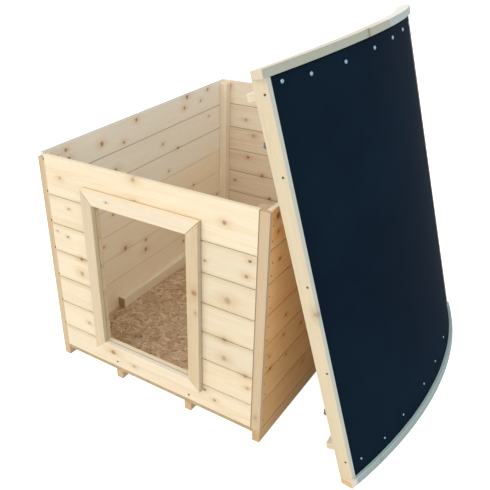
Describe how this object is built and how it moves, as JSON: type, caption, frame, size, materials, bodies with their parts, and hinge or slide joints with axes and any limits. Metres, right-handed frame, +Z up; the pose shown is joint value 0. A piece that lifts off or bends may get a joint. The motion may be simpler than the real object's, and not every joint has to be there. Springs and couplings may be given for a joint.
{
  "type": "wooden dog kennel",
  "caption": "Open-topped wooden dog kennel of tongue-and-groove boards with a framed doorway, and its arched covered roof leaning against the side wall.",
  "frame": {"origin": "centre of the whole object's bounding box on the ground", "axes": "+Z up, -Y the doorway side, +X towards the leaning roof"},
  "size_m": [1.0268, 0.9506, 0.984],
  "materials": {
    "pine_front": "planed pale pine, satin",
    "pine_walls": "planed pine, matt, warmer inside the box",
    "pine_frame": "sawn pine, matt",
    "chipboard": "strand board, matt",
    "roof_felt": "dark blue-grey roofing sheet, matt",
    "steel": "zinc-plated nails and screws",
    "tab_metal": "dull grey-green tab"
  },
  "bodies": {
    "kennel": {"skid_left": "pine_frame", "skid_middle_left": "pine_frame", "skid_middle_right": "pine_frame", "skid_right": "pine_frame", "floor_sheet": "chipboard", "floor_batten_left": "pine_frame", "floor_batten_right": "pine_frame", "post_front_left": "pine_frame", "post_front_right": "pine_frame", "post_back_left": "pine_frame", "post_back_right": "pine_frame", "front_board_1": "pine_front", "front_board_2": "pine_front", "front_board_3_left": "pine_front", "front_board_3_right": "pine_front", "front_board_4_left": "pine_front", "front_board_4_right": "pine_front", "front_board_5_left": "pine_front", "front_board_5_right": "pine_front", "front_board_6_left": "pine_front", "front_board_6_right": "pine_front", "front_board_7": "pine_front", "left_board_1": "pine_walls", "left_board_2": "pine_walls", "left_board_3": "pine_walls", "left_board_4": "pine_walls", "left_board_5": "pine_walls", "left_board_6": "pine_walls", "left_board_7": "pine_walls", "right_board_1": "pine_walls", "right_board_2": "pine_walls", "right_board_3": "pine_walls", "right_board_4": "pine_walls", "right_board_5": "pine_walls", "right_board_6": "pine_walls", "right_board_7": "pine_walls", "back_board_1": "pine_walls", "back_board_2": "pine_walls", "back_board_3": "pine_walls", "back_board_4": "pine_walls", "back_board_5": "pine_walls", "back_board_6": "pine_walls", "back_board_7": "pine_walls", "door_trim_top": "pine_front", "door_trim_right": "pine_front", "door_trim_bottom": "pine_front", "door_trim_left": "pine_front"},
    "roof": {"arch_board_lower": "pine_frame", "arch_board_upper": "pine_frame", "roof_rail_near": "pine_frame", "roof_rail_far": "pine_frame", "end_rib_lower": "pine_frame", "end_rib_upper": "pine_frame", "middle_rib": "pine_frame", "roof_sheathing": "pine_walls", "roof_covering": "roof_felt", "locating_cleat_lower_near": "pine_frame", "locating_cleat_lower_far": "pine_frame", "locating_cleat_upper_near": "pine_frame", "locating_cleat_upper_far": "pine_frame"}
  },
  "joints": [
    {"name": "roof_tip", "type": "hinge", "parent": "kennel", "child": "roof", "pos_m": [0.41617, -0.45418, 0], "axis": [-0.0347, 0.9994, 0], "range_deg": [0, 16.6]}
  ]
}
